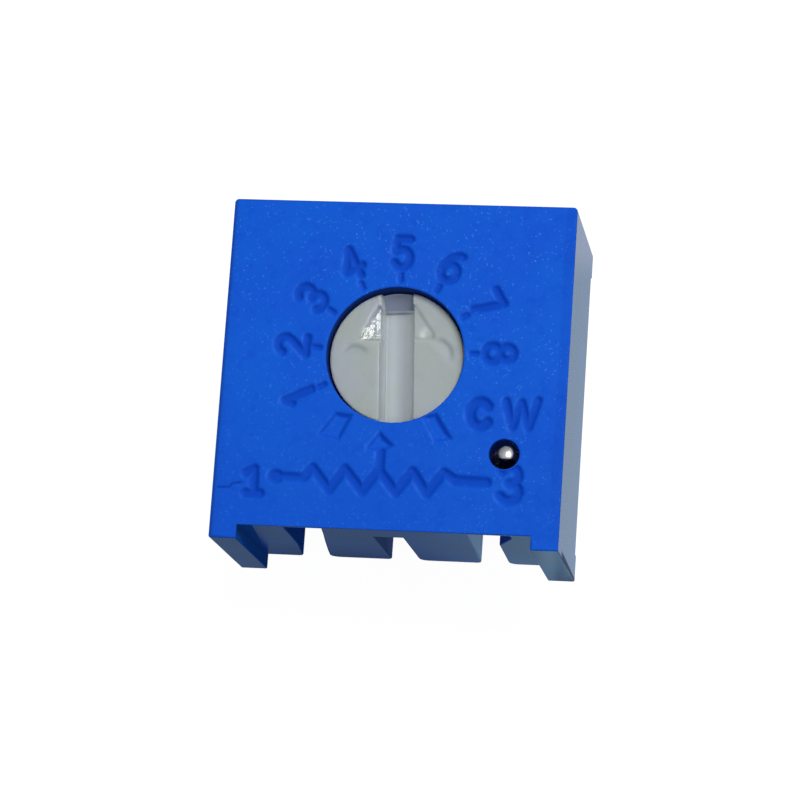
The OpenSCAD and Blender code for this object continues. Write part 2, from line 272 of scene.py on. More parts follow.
def underside_painted_shade(spot, facing):
    """Painted shade under the part: on the walls of the pin grooves, in the rougher hollows in them and
    beside the left foot, and on the right foot's low edge and tip."""
    x, y, z = spot
    rightward, downward = facing[0].step(0.5, 0.8), facing[1].step(-0.5, -0.8)
    foot_low, foot_high = LOW_Y + 0.145, LOW_Y + 0.245
    in_groove = y.step(UNDERSIDE_Y + 0.565, UNDERSIDE_Y + 0.445) * x.step(RIGHT_X - 0.165, RIGHT_X - 0.365)
    groove_wall_shade = rightward * in_groove
    left_of_blocks = (z * 0.087 - 4.0 - x).step(-0.03, 0.03)
    block_level = y.step(UNDERSIDE_Y + 0.165, UNDERSIDE_Y + 0.065) * y.step(foot_low, foot_high)
    hollow_shade = (groove_wall_shade * x.step(-1.0, -1.8)).most(downward * left_of_blocks * block_level)
    by_low_edge = (y - z * 0.03).step(foot_low, LOW_Y + 0.025) * z.step(FRONT_Z - 0.23, FRONT_Z - 1.43)
    low_edge_shade = rightward * x.step(RIGHT_X - 0.165, RIGHT_X - 0.065) * by_low_edge
    at_tip = x.step(RIGHT_X - 0.765, RIGHT_X - 0.015) * z.step(FRONT_Z - 1.63, -1.0)
    foot_tip_shade = downward * at_tip * y.step(foot_high, foot_low)
    return groove_wall_shade, hollow_shade, low_edge_shade, foot_tip_shade


def fleck_field(f, place):
    """Small flecks, whose light colour is a painted glint: round dots, and short dashes that lie three ways.
    """
    field = f.cells(f.bent(place, 0.3, 2.0), 6.2).step(0.2, 0.06)
    for turn, pitch in ((0.2, 6.2), (1.1, 5.6), (2.3, 5.9)):
        turned = f.node("ShaderNodeVectorRotate", {"rotation_type": "Z_AXIS"},
                        {"Vector": place, "Angle": turn})
        drawn = f.vector("MULTIPLY", turned, (1.0, 0.55, 1.0))
        field = field.most(f.cells(f.bent(drawn, 0.3, 2.2), pitch).step(0.17, 0.05))
    return field * f.grain(place, 1.3, 3.0).step(0.36, 0.58, 0.15, 1.0)


NYLON_GREEN, NYLON_BLUE, NYLON_DULL = rgb(163, 172, 169), rgb(164, 172, 178), rgb(157, 166, 165)
# Painted shade, tinted blue, on faces that face the bottom edge, and painted light on steep walls
NYLON_DOWNWARD_SHADE, NYLON_LIT_WALLS = rgb(134, 144, 176), rgb(224, 230, 233)
# Colours of the painted light and the painted shade on the head
NYLON_PAINTED_LIGHT, NYLON_PAINTED_SHADE = rgb(232, 238, 240), rgb(126, 140, 142)


def moulded_white():
    """Off-white nylon, a little waxy, with faint green and blue casts and a glossier arrowhead. Painted shade
    and painted light lie in its colour on parts of the head.
    """
    f = Finish("moulded_white", IOR=1.5, Subsurface_Weight=0.8, Subsurface_Scale=0.5 * MM,
               Subsurface_Radius=(1.0, 0.97, 0.95))
    place = f.place()
    _, to_top, to_front = f.facing()
    upright = to_front.step(0.5, 0.95)
    polished, shade, light = f.stored("polished", "shade", "light")
    cloud = f.grain(place, 0.9, 2.0)
    blotch = f.grain(place, 2.2, 3.0)
    fine = f.grain(place, 6.0, 3.0)
    f.drive("Base Color", f.layered(
        NYLON_GREEN,
        (cloud.step(0.38, 0.66), NYLON_BLUE),
        (blotch.step(0.5, 0.75, 0.0, 0.5), NYLON_DULL),
        # Painted shade, tinted blue, on faces that face the bottom edge, such as the notch's ramp
        (to_top.step(-0.3, -0.7, 0.0, 0.7), NYLON_DOWNWARD_SHADE),
        # Painted light: steep walls, such as the slot's, are paler
        (to_front.step(0.25, 0.05, 0.0, 0.7), NYLON_LIT_WALLS),
        # Painted light on the slot's floor and a highlight spot in the arrowhead
        (light, NYLON_PAINTED_LIGHT),
        # Painted shade: dark arcs in the cups and a line along the slot's left edge
        (shade, NYLON_PAINTED_SHADE)))
    gloss = f.node("ShaderNodeMapRange", None, {"Value": polished, "To Min": 0.42, "To Max": 0.17})
    f.drive("Roughness", gloss + fine.step(0.3, 0.7, -0.04, 0.04))
    wave = f.relief(blotch * upright, 0.01)
    chatter = f.relief(f.grain(place, 4.5, 2.0) * polished, 0.05, wave)
    f.drive("Normal", f.relief(fine * upright, 0.002, chatter))
    return f.material


# Where the wire end behind the vent is rubbed bright
BRIGHT_SPOT = (3.135, -2.42)


def tinned_wire():
    f = Finish("tinned_wire", Metallic=0.95, Roughness=0.24)
    place = f.place((1, 1, 0.4))
    x, y, _ = f.parts(place)
    dull = f.grain(place, 5.0, 4.0)
    in_vent_shade = y.step(-2.51, -2.56) * x.step(2.6, 2.7)
    f.drive("Base Color", f.layered(
        rgb(196, 198, 200),
        (dull.step(0.35, 0.7), rgb(226, 227, 226)),
        (in_vent_shade, rgb(30, 40, 70))))
    off_x, off_y = x - BRIGHT_SPOT[0], y - BRIGHT_SPOT[1]
    away = (off_x * off_x + off_y * off_y) ** 0.5
    f.drive("Roughness", dull.step(0.3, 0.7, 0.2, 0.3).most(away.step(0.035, 0.1, 0.18, 0.44)))
    f.drive("Normal", f.relief(dull, 0.002))
    return f.material


def cast_resin():
    """Blue potting resin with soft swells and a few pin holes."""
    f = Finish("cast_resin", Roughness=0.22, IOR=1.55)
    place = f.place()
    cloud = f.grain(place, 0.8, 3.0)
    pin_hole = f.cells(place, 2.6).step(0.09, 0.04)
    f.drive("Base Color", f.layered(
        rgb(10, 44, 118),
        (cloud.step(0.35, 0.7), rgb(18, 58, 140)),
        (pin_hole, rgb(6, 24, 70))))
    f.drive("Roughness", cloud.step(0.3, 0.7, 0.16, 0.34))
    f.drive("Normal", f.relief(1 - pin_hole, 0.02, f.relief(cloud, 0.03)))
    return f.material


def grained(name, scale, dark, pale, detail=4.0, stretch=(1, 1, 1), gloss=None, depth=None, **surface):
    """A finish with one grain in its colour and, where they are given, in its roughness and its relief."""
    f = Finish(name, **surface)
    grain = f.grain(f.place(stretch), scale, detail)
    f.drive("Base Color", f.blend(grain.step(0.3, 0.7), dark, pale))
    if gloss:
        f.drive("Roughness", grain.step(0.3, 0.7, *gloss))
    if depth:
        f.drive("Normal", f.relief(grain, depth))
    return f.material


def solder():
    return grained("solder", 6.0, rgb(112, 116, 126), rgb(150, 154, 162), gloss=(0.25, 0.5), depth=0.01,
                   Metallic=1.0)


def alumina():
    return grained("alumina", 14.0, rgb(214, 211, 200), rgb(236, 234, 226), depth=0.004, Roughness=0.6)


def fired_glaze():
    return grained("fired_glaze", 18.0, rgb(34, 34, 38), rgb(54, 54, 58), gloss=(0.25, 0.5))


def fired_silver():
    return grained("fired_silver", 16.0, rgb(70, 76, 94), rgb(98, 104, 122), gloss=(0.35, 0.6), Metallic=1.0)


def spring_alloy():
    """Brushed along the strip."""
    return grained("spring_alloy", 12.0, rgb(206, 172, 104), rgb(230, 198, 130), detail=3.0,
                   stretch=(1, 0.15, 1), gloss=(0.22, 0.4), Metallic=1.0)


def seal_rubber():
    return grained("seal_rubber", 10.0, rgb(22, 22, 24), rgb(38, 38, 40), detail=3.0, depth=0.004,
                   Roughness=0.6)


def wear(piece, material):
    piece.data.materials.clear()
    piece.data.materials.append(material)


# ---------------------------------------------------------------- marks in the front face

def arc(cx, cy, rx, ry, start, end, steps=10):
    """Points on an ellipse, angles in degrees."""
    turn = [math.radians(start + (end - start) * i / steps) for i in range(steps + 1)]
    return [(cx + rx * math.cos(t), cy + ry * math.sin(t)) for t in turn]


# Plain numerals as strokes, 0.6 wide and 1 high, centred on the origin
NUMERALS = {
    1: [[(-0.16, 0.3), (0.03, 0.5), (0.03, -0.5)]],
    2: [arc(0, 0.24, 0.27, 0.26, 165, -30, 9) + [(-0.28, -0.5), (0.3, -0.5)]],
    3: [arc(-0.02, 0.25, 0.26, 0.25, 150, -90, 9) + arc(-0.02, -0.25, 0.29, 0.25, 90, -150, 10)],
    4: [[(0.12, -0.5), (0.12, 0.5), (-0.3, -0.2), (0.3, -0.2)]],
    5: [[(0.24, 0.5), (-0.2, 0.5), (-0.24, 0.06)] + arc(-0.02, -0.18, 0.28, 0.32, 120, -150, 10)],
    6: [arc(0.0, -0.2, 0.28, 0.3, 0, 360, 16), arc(0.16, -0.1, 0.44, 0.6, 95, 180, 6)],
    7: [[(-0.28, 0.5), (0.28, 0.5), (-0.06, -0.5)]],
    8: [arc(0, 0.26, 0.23, 0.24, 0, 360, 14), arc(0, -0.24, 0.28, 0.27, 0, 360, 16)],
}


def laid(stroke, x, y, size=1.0, turn=0.0):
    c, s = math.cos(turn), math.sin(turn)
    return [(x + size * (c * px - s * py), y + size * (s * px + c * py)) for px, py in stroke]


# The dial: numbers that are set out from DIAL_START, clockwise, and a tick under each
DIAL_START, DIAL_STEP = 234.5, 29
NUMERAL_R, NUMERAL_SIZE, NUMERAL_HALF_W = 2.86, 0.8, 0.1
TICK_FROM, TICK_TO, TICK_HALF_W = 2.09, 2.26, 0.06


def dial_numerals():
    """Ten divisions from stop to stop; 1 to 8 are numbered, the last ones leave room for CW."""
    strokes = []
    for number, shape in NUMERALS.items():
        angle = math.radians(DIAL_START - DIAL_STEP * number)
        c, s = math.cos(angle), math.sin(angle)
        place = (NUMERAL_R * c, NUMERAL_R * s, NUMERAL_SIZE, angle - math.pi / 2)
        strokes += [(laid(stroke, *place), NUMERAL_HALF_W) for stroke in shape]
        strokes.append(([(TICK_FROM * c, TICK_FROM * s), (TICK_TO * c, TICK_TO * s)], TICK_HALF_W))
    return strokes


def schematic():
    """Symbol of a variable resistor: element, wiper arrow and both end terminals."""
    top, low = -3.22, -3.81
    zigzag = [(-2.33, -3.5), (-2.28, -3.5), (-2.04, top), (-1.55, low), (-1.15, top), (-0.65, low),
              (-0.22, top), (0.27, low), (0.7, top), (1.12, low), (1.55, top), (1.9, -3.42)]
    return [
        (zigzag, 0.115),
        (arc(-3.03, -3.5, 0.1, 0.06, 0, 360, 12), 0.12),
        ([(-3.0, -3.48), (-2.3, -3.5)], 0.1),
        ([(1.85, -3.42), (2.72, -3.45)], 0.125),
        ([(-0.2, -2.7), (-0.2, -3.15)], 0.11),
    ]


def lettering():
    c_mark = arc(2.44, -1.57, 0.27, 0.34, 40, 320, 12)
    w_mark = [(3.13, -1.2), (3.33, -1.9), (3.55, -1.22), (3.77, -1.9), (3.99, -1.15)]
    one = [[(-3.86, -3.42), (-3.64, -3.31), (-3.61, -3.98)], [(-3.84, -3.98), (-3.44, -3.98)]]
    three = [laid(st, 3.36, -3.46, 0.92) for st in NUMERALS[3]]
    return [(c_mark, 0.13), (w_mark, 0.1)] + [(st, 0.11) for st in one] + [(st, 0.12) for st in three]


# Filled shapes: where the pointer stops at both ends of its travel, and the wiper's arrowhead
STOP_LEFT = [(-1.93, -2.28), (-1.50, -1.68), (-1.06, -1.73), (-1.37, -2.40)]
STOP_RIGHT = [(0.88, -1.69), (1.25, -1.61), (1.70, -2.29), (1.26, -2.34)]
WIPER_HEAD = [(-0.27, -2.17), (-0.58, -2.62), (-0.34, -2.66), (-0.08, -2.62), (0.12, -2.54)]
SCRATCH = [(-4.62, -3.86), (-4.31, -3.84), (-4.22, -3.74), (-3.98, -3.7)]

# The CAD pockets are MARK_DEPTH deep; the soft relief that replaces them goes down by MARK_SUNK
MARK_DEPTH = 0.1
MARK_SUNK = 0.07
SCRATCH_SUNK = 0.03
# Width of a mark's wall under its upper right edge, and at its lower left
STEEP, GENTLE = 0.15, 0.21
# Width of the barer border along the face's right edge
BORDER_W = 0.27
# Step by which the lean of a mark's edge is felt
UPPER_RIGHT = (0.035, 0.035)
STROKES = dial_numerals() + schematic() + lettering()


def mark_gap(p):
    """Signed distance from points to the nearest mark, negative inside."""
    gap = from_segments(p, STROKES)
    for shape in (STOP_LEFT, STOP_RIGHT, WIPER_HEAD):
        gap = np.minimum(gap, from_polygon(p, shape))
    return gap


def scratch_gap(p):
    return from_segments(p, [(SCRATCH, 0.0)])


def lean_along(p, push):
    """How fast the marks fall away in the direction of push: 1 straight away, -1 straight towards one."""
    push = np.array(push)
    return (mark_gap(p + push) - mark_gap(p - push)) / (2 * np.linalg.norm(push))


def mark_lean(p):
    """1 beside the upper right edge of a mark, -1 beside its lower left edge."""
    return np.clip(lean_along(p, UPPER_RIGHT), -1, 1)


def bare_skin_and_painted_shade(p):
    """How much of the pale bloom is gone: painted shade under the upper right edges of marks, which face away
    from the key light, and bare skin on the floors of marks, in a border and in the scratch.
    """
    gap, lean = mark_gap(p), mark_lean(p)
    width = 0.1 + 0.05 * lean
    # Painted shade under the upper right edges of marks, widest and strongest where the edge leans away from
    # the key light
    painted_edge_shade = (0.7 + 0.3 * lean) * smooth((0.06 - gap) / 0.06) * smooth((gap + width) / 0.07)
    floor = 0.78 * ramp(from_segments(p, STROKES), STEEP)
    border = 0.3 * smooth((p[:, 0] - RIGHT_X + BORDER_W + 0.05) / 0.06)
    scratch = smooth(1 - scratch_gap(p) / 0.05)
    return np.maximum(np.maximum(painted_edge_shade, floor), np.maximum(border, scratch))


def painted_lip_highlight(p):
    """Paler lips outside the left edges of marks, in patches: a painted highlight where those edges face the
    key light.
    """
    patchy = 0.45 + 0.55 * np.sin(p[:, 0] * 13.0) * np.sin(p[:, 1] * 11.0 + 1.0)
    leftward = np.clip(-lean_along(p, (0.05, 0)), 0, 1)
    return patchy * leftward * smooth(1 - np.abs(mark_gap(p) - 0.045) / 0.05)


def shaded_part(p):
    """Where the front is darker: along its left edge and in the scratch."""
    left = 0.75 * smooth(1 - (p[:, 0] - LEFT_X) / 0.16)
    scratch = 0.4 * smooth(1 - scratch_gap(p) / 0.04)
    return np.maximum(left, scratch)


FACE_MASKS = {"polished": bare_skin_and_painted_shade, "shade": shaded_part, "lip": painted_lip_highlight}


def face_height(p):
    """Height of the front face over its plane, in millimetres. Marks are steep under their upper right
    edge and run out softly at the lower left."""
    width = (STEEP + GENTLE) / 2 + (STEEP - GENTLE) / 2 * mark_lean(p)
    return -MARK_SUNK * ramp(mark_gap(p), width) - SCRATCH_SUNK * smooth(1 - scratch_gap(p) / 0.05)


# ---------------------------------------------------------------- distances

def from_segments(p, strokes):
    """Signed distance from points to the outline of round-ended strokes, negative inside."""
    best = np.full(len(p), 9.0)
    for stroke, half in strokes:
        for a, b in zip(stroke, stroke[1:]):
            a, b = np.array(a), np.array(b)
            along = b - a
            t = np.clip((p - a) @ along / max(along @ along, 1e-12), 0, 1)
            gap = np.linalg.norm(p - a - t[:, None] * along, axis=1) - half
            best = np.minimum(best, gap)
    return best


def from_polygon(p, corners):
    """Signed distance from points to a polygon, negative inside."""
    edge = from_segments(p, [(corners + corners[:1], 0.0)])
    inside = np.zeros(len(p), bool)
    for (ax, ay), (bx, by) in zip(corners, corners[1:] + corners[:1]):
        crosses = (ay > p[:, 1]) != (by > p[:, 1])
        with np.errstate(divide="ignore", invalid="ignore"):
            inside ^= crosses & (p[:, 0] < (bx - ax) * (p[:, 1] - ay) / (by - ay) + ax)
    return np.where(inside, -edge, edge)


def smooth(t):
    t = np.clip(t, 0, 1)
    return t * t * (3 - 2 * t)


def ramp(gap, width):
    """1 well inside (gap negative), 0 outside, over a soft wall of the given width."""
    return smooth(0.5 - gap / width)


# ---------------------------------------------------------------- mesh helpers

def clean_copy(node):
    """The CAD node's mesh as a bmesh in millimetres, with its flat faces whole again."""
    bm = bmesh.new()
    bm.from_mesh(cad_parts[node].data)
    bmesh.ops.scale(bm, vec=(1 / MM,) * 3, verts=bm.verts)
    bmesh.ops.remove_doubles(bm, verts=bm.verts, dist=1e-4)
    bmesh.ops.dissolve_limit(bm, angle_limit=math.radians(0.5), verts=bm.verts, edges=bm.edges)
    return bm


def sharp_edges(bm, angle=35):
    """Outward corners sharper than angle."""
    sharp = math.radians(angle)
    return [e for e in bm.edges if len(e.link_faces) == 2 and e.calc_face_angle_signed(0) > sharp]


def round_edges(bm, edges, width, segments):
    bmesh.ops.bevel(bm, geom=edges, offset=width, segments=segments, profile=0.5, affect="EDGES",
                    offset_type="OFFSET", clamp_overlap=False, miter_outer="ARC")


def cut_above(bm, z):
    """Removes all that lies above z, and returns the loop of vertices that is left open there."""
    geom = bm.verts[:] + bm.edges[:] + bm.faces[:]
    bmesh.ops.bisect_plane(bm, geom=geom, plane_co=(0, 0, z), plane_no=(0, 0, 1), clear_outer=True)
    return open_loop(bm)


def open_loop(bm):
    return ordered_loops([e for e in bm.edges if e.is_boundary])[0]


def wall_between(bm, lower, upper):
    """Faces between two closed loops of vertices."""
    for i in range(len(lower)):
        j = (i + 1) % len(lower)
        bm.faces.new((lower[i], lower[j], upper[j], upper[i]))


def outlines(edges):
    return [[tuple(v.co.xy) for v in loop] for loop in ordered_loops(edges)]


def finish_piece(bm, name, body, node, material):
    """Turns a bmesh in millimetres into a smooth-shaded piece that stands for a CAD node."""
    bmesh.ops.scale(bm, vec=(MM,) * 3, verts=bm.verts)
    bmesh.ops.recalc_face_normals(bm, faces=bm.faces)
    mesh = bpy.data.meshes.new(name)
    bm.to_mesh(mesh)
    bm.free()
    mesh.polygons.foreach_set("use_smooth", [True] * len(mesh.polygons))
    piece = bpy.data.objects.new(name, mesh)
    bpy.context.scene.collection.objects.link(piece)
    even = piece.modifiers.new("even_shading", "WEIGHTED_NORMAL")
    even.mode, even.weight, even.keep_sharp = "FACE_AREA", 50, False
    wear(piece, material)
    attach(piece, body)
    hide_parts(node)
    return piece


def add_masks(bm, masks):
    for name in masks:
        bm.verts.layers.float.new(name)


def triangulated(rim, points, lines, keep_inside):
    """Triangles through flat points, bounded by lines between the rim's vertices."""
    flat = [v.co.xy for v in rim] + [Vector(p) for p in points]
    coords, _, faces, sources, _, _ = delaunay_2d_cdt(flat, lines, [], keep_inside, 1e-6, True)
    return np.array([tuple(c) for c in coords]), faces, sources


def raised(bm, rim, coords, sources, base_z, level, shares):
    """The vertices for a triangulation: the rim's own, and new ones at level over base_z. Stores the
    shares of each mask on them."""
    layers = [(bm.verts.layers.float[name], share) for name, share in shares.items()]
    made = []
    for i, source in enumerate(sources):
        old = [s for s in source if s < len(rim)]
        made.append(rim[old[0]] if old else bm.verts.new((*coords[i], base_z + level[i])))
        for layer, share in layers:
            made[-1][layer] = share[i]
    return made


def fill_relief(bm, rim_edges, inner_points, height, masks):
    """Fills the space between flat loops of edges with triangles through inner_points, lifts the inner
    ones by height, and stores each mask on the vertices. Holes stay open."""
    add_masks(bm, masks)
    rim = list(dict.fromkeys(v for e in rim_edges for v in e.verts))
    index = {v: i for i, v in enumerate(rim)}
    lines = [(index[e.verts[0]], index[e.verts[1]]) for e in rim_edges]
    coords, faces, sources = triangulated(rim, inner_points, lines, 0)
    shares = {name: mask(coords) for name, mask in masks.items()}
    made = raised(bm, rim, coords, sources, rim[0].co.z, height(coords), shares)
    centres = np.array([coords[list(f)].mean(0) for f in faces])
    inside = np.zeros(len(centres), bool)
    for outline in outlines(rim_edges):
        inside ^= from_polygon(centres, outline) < 0
    for keep, face in zip(inside, faces):
        if keep:
            bm.faces.new([made[i] for i in face])


def ordered_loops(edges):
    """Closed loops of vertices along a list of edges, always in the same order."""
    left, loops = dict.fromkeys(edges), []
    while left:
        edge = next(iter(left))
        del left[edge]
        start, here = edge.verts
        loop = [start, here]
        while here is not start:
            edge = next(e for e in here.link_edges if e in left)
            del left[edge]
            here = edge.other_vert(here)
            if here is not start:
                loop.append(here)
        loops.append(loop)
    return loops


def open_front(bm, z, depth):
    """Removes the front face at height z with the plain pockets sunk in it, and returns its rim."""
    def in_front(face):
        heights = [v.co.z for v in face.verts]
        low, high = min(heights), max(heights)
        if face.normal.z > 0.9999:
            return high > z - depth - 1e-3
        return abs(face.normal.z) < 1e-3 and high > z - 1e-3 and abs(low - z + depth) < 1e-3

    flat = [f for f in bm.faces if in_front(f)]
    chosen = set(flat)
    rim = [e for f in flat for e in f.edges if sum(g in chosen for g in e.link_faces) == 1]
    inner = [e for f in flat for e in f.edges if all(g in chosen for g in e.link_faces)]
    bmesh.ops.delete(bm, geom=flat, context="FACES_KEEP_BOUNDARY")
    for edge in dict.fromkeys(e for e in inner if e.is_valid):
        if edge.is_wire:
            bm.edges.remove(edge)
    return rim


def grid(x0, x1, y0, y1, pitch):
    xs, ys = np.arange(x0, x1, pitch), np.arange(y0, y1, pitch)
    gx, gy = np.meshgrid(xs, ys)
    gx[1::2] += pitch / 2
    return np.stack([gx.ravel(), gy.ravel()], 1)


# ---------------------------------------------------------------- housing

EDGE_ROUNDING = 0.045
# Spacing of the front face's points near its marks, away from them, and along its edges
FINE_PITCH, COARSE_PITCH, EDGE_PITCH = 0.034, 0.3, 0.09
# Outline of the closed space behind the front wall, and how far it stays behind the front face
WELL_HALF_W, WELL_HALF_H, WELL_LOW_Z, WELL_GAP = 3.82, 3.67, 0.3, 0.2
# Marks stay within this distance of the middle, in width and in height
MARK_REACH = 4.2


def housing_shell(material):
    """The CAD housing with rounded outer edges, and a new front face with soft marks."""
    bm = clean_copy("housing")
    outer = [e for e in sharp_edges(bm) if not in_mark(e) and not in_cavity(e)]
    round_edges(bm, outer, EDGE_ROUNDING, 3)
    rim = open_front(bm, FRONT_Z, MARK_DEPTH)
    fill_relief(bm, rim, face_points(outlines(rim)), face_height, FACE_MASKS)
    shade = bm.verts.layers.float["shade"]
    for v in bm.verts:
        in_bore = v.co.xy.length < BORE_R + 0.01
        in_vent = (v.co.xy - Vector(VENT)).length < VENT_R + 0.01
        if (in_bore or in_vent) and v.co.z < FRONT_Z - 0.03:
            v[shade] = 1.0
    return finish_piece(bm, "housing_shell", CASE, "housing", material)


def face_points(loops):
    """Sample points over the front face: close together in its reliefs, and in two rows along its edges."""
    fine = face_grid(0.1, FINE_PITCH)
    near = np.abs(mark_gap(fine)) < 0.15
    near |= scratch_gap(fine) < 0.07
    near |= np.abs(fine[:, 0] - RIGHT_X + BORDER_W) < 0.07
    coarse = face_grid(0.15, COARSE_PITCH)
    away = np.abs(mark_gap(coarse)) > 0.2
    rows = [beside(loop, distance) for loop in loops for distance in (0.03, 0.08)]
    points = np.concatenate([fine[near], coarse[away]] + rows)
    clear = np.ones(len(points), bool)
    inside = np.zeros(len(points), bool)
    for loop in loops:
        gap = from_polygon(points, loop)
        inside ^= gap < 0
        clear &= np.abs(gap) > 0.025
    return points[clear & inside]


def face_grid(margin, pitch):
    return grid(LEFT_X + margin, RIGHT_X - margin, LOW_Y + margin, TOP_Y - margin, pitch)


def beside(loop, distance):
    """Points at a distance to both sides of a closed line, so that shading stays flat up to it."""
    spots = []
    for a, b in zip(loop, loop[1:] + loop[:1]):
        a, b = np.array(a), np.array(b)
        length = np.linalg.norm(b - a)
        if length < 1e-6:
            continue
        off = np.array([-(b - a)[1], (b - a)[0]]) / length * distance
        count = max(1, round(length / EDGE_PITCH))
        for k in range(count):
            middle = a + (b - a) * (k + 0.5) / count
            spots += [middle + off, middle - off]
    return np.array(spots)


def in_cavity(edge):
    """An edge of the closed space behind the front wall."""
    return all(abs(v.co.x) < WELL_HALF_W and abs(v.co.y) < WELL_HALF_H
               and WELL_LOW_Z < v.co.z < FRONT_Z - WELL_GAP for v in edge.verts)


def in_mark(edge):
    """An edge of the plain pockets in the front face, which the new face leaves out."""
    heights = [v.co.z for v in edge.verts]
    floor = FRONT_Z - MARK_DEPTH
    if abs(heights[0] - floor) < 1e-3 or abs(heights[1] - floor) < 1e-3:
        return True
    spots = np.array([tuple(v.co.xy) for v in edge.verts])
    inner = np.abs(spots).max() < MARK_REACH and min(heights) > FRONT_Z - 1e-3
    bore = np.hypot(*spots.T).max() < BORE_R + 0.02
    vent = np.hypot(spots[:, 0] - VENT[0], spots[:, 1] - VENT[1]).max() < VENT_R + 0.02
    return inner and not bore and not vent


# ---------------------------------------------------------------- rotor

SLOT_HALF = 0.44
SLOT_END = 1.44
SLOT_DEPTH = 0.75
NOTCH_DEPTH = 0.57
# Widths of the soft walls of the slot, the notch and the arrowhead
SLOT_SOFT, NOTCH_SOFT, ARROW_SOFT = 0.08, 0.06, 0.08
ARROW = [(-1.0, 0.5), (1.0, 0.5), (1.05, 0.6), (0.52, 1.45), (-0.52, 1.45), (-1.05, 0.6)]
# The left half of the arrowhead's floor starts at ARROW_LEFT and slopes; the right half is level
ARROW_LEFT, ARROW_TILT, ARROW_RIGHT = 0.02, 0.25, 0.045
# A round dip in the arrowhead's right half: its middle, radius and depth
DIP, DIP_R, DIP_DEPTH = (0.78, 0.6), 0.15, 0.03
# Middle, radius, and the direction in degrees of the deep side of each thumb-shaped cup
CUPS = [((-1.16, 0.0), 0.4, 84), ((1.1, 0.05), 0.46, 40)]
CUP_DEPTH, CUP_SOFT = 0.022, 0.14
# How far in and how far down the edge of the head is rounded
RIM_IN, RIM_DOWN = 0.04, 0.035
# The new head reaches this far below the slot's floor
BELOW_SLOT = 0.25


def rotor_height(p):
    """Height of the rotor's face over its plane, in the rotor's own axes."""
    x, y = p[:, 0], p[:, 1]
    side = np.abs(x) - SLOT_HALF
    slot = SLOT_DEPTH * ramp(np.maximum(side, y - SLOT_END), SLOT_SOFT)
    fall = NOTCH_DEPTH - np.clip(y - SLOT_END, 0, None)
    notch = fall * ramp(np.maximum(side + 0.02, SLOT_END - 0.1 - y), NOTCH_SOFT)
    floor = np.where(x < 0, ARROW_LEFT + ARROW_TILT * np.clip(x + 1.03, 0, None), ARROW_RIGHT)
    arrow = floor * ramp(from_polygon(p, ARROW), ARROW_SOFT)
    dip = DIP_DEPTH * smooth(1 - np.hypot(x - DIP[0], y - DIP[1]) / DIP_R)
    cups = sum(cup(x, y, *place) for place in CUPS)
    past_rim = ((np.hypot(x, y) - HEAD_R + RIM_IN) / RIM_IN).clip(0, 1)
    rim = RIM_DOWN * (1 - np.sqrt(np.clip(1 - past_rim ** 2, 0, 1)))
    return -np.maximum(np.maximum(slot, notch), arrow + dip + cups) - rim


def cup_gap(x, y, middle, radius, toward):
    return np.hypot(x - middle[0], y - middle[1]) - radius


def cup_lean(x, y, middle, radius, toward):
    """1 at the deep side of a cup, fading round from there."""
    t = math.radians(toward)
    lean = ((x - middle[0]) * math.cos(t) + (y - middle[1]) * math.sin(t)) / radius
    return smooth((lean - 0.1) / 0.9)


def cup(x, y, *place):
    return CUP_DEPTH * ramp(cup_gap(x, y, *place), CUP_SOFT) * cup_lean(x, y, *place)


def arrow_shine(p):
    """The left half of the arrowhead is glossy."""
    return np.where(p[:, 0] < -SLOT_HALF, ramp(from_polygon(p, ARROW), ARROW_SOFT), 0.0)


def rotor_painted_shade(p):
    """Painted shade: darker arcs along the deep sides of the cups, and a dark line along the slot's left edge
    that damps the highlight there.
    """
    x, y = p[:, 0], p[:, 1]
    arcs = [cup_lean(x, y, *place) * smooth(1 - np.abs(cup_gap(x, y, *place) + 0.06) / 0.12)
            for place in CUPS]
    edge = 0.35 * smooth(1 - np.abs(x + SLOT_HALF + 0.03) / 0.05) * (y < SLOT_END)
    return np.maximum(0.65 * np.maximum(*arcs), edge)


def rotor_painted_light(p):
    """Painted light: on the slot's floor along its right wall, where the wall's shadow falls, a streak down
    the floor, and a highlight spot in the arrowhead.
    """
    x, y = p[:, 0], p[:, 1]
    floor = (np.abs(x) < SLOT_HALF - 0.03) & (y < SLOT_END)
    right = 0.8 * smooth((x - 0.1) / 0.32)
    streak = 0.14 * smooth(1 - np.abs(x + 0.2) / 0.22) + 0.3 * smooth(1 - np.abs(x + 0.4) / 0.06)
    spot = 0.38 * smooth(1 - np.hypot(x - 0.76, y - 0.66) / 0.26)
    return np.where(floor, np.maximum(right, streak), spot)


ROTOR_MASKS = {"polished": arrow_shine, "shade": rotor_painted_shade, "light": rotor_painted_light}


def rotor_head(material):
    """The CAD rotor below its head, and a new head with soft edges, sunk arrowhead and shallow cups."""
    bm = clean_copy("rotor")
    add_masks(bm, ROTOR_MASKS)
    cut_above(bm, ROTOR_Z - SLOT_DEPTH - BELOW_SLOT)
    bmesh.ops.subdivide_edges(bm, edges=[e for e in bm.edges if e.is_boundary], cuts=3)
    lower = open_loop(bm)
    for v in lower:
        v.co.xy = v.co.xy.normalized() * HEAD_R
    turn = Matrix.Rotation(-REST_TURN, 2)
    rim_height = rotor_height(np.array([tuple(turn @ v.co.xy) for v in lower]))
    upper = [bm.verts.new((v.co.x, v.co.y, ROTOR_Z + h)) for v, h in zip(lower, rim_height)]
    wall_between(bm, lower, upper)
    head_surface(bm, upper)
    return finish_piece(bm, "rotor_head", TURNING, "rotor", material)


# Rows of points on both sides of a soft wall, and rings inside the head's edge
WALL_ROWS = (-0.06, -0.04, -0.025, -0.01, 0.01, 0.025, 0.04, 0.06)
EDGE_RINGS = (0.004, 0.012, 0.025, 0.045)
HEAD_PITCH, ROW_PITCH = 0.045, 0.04


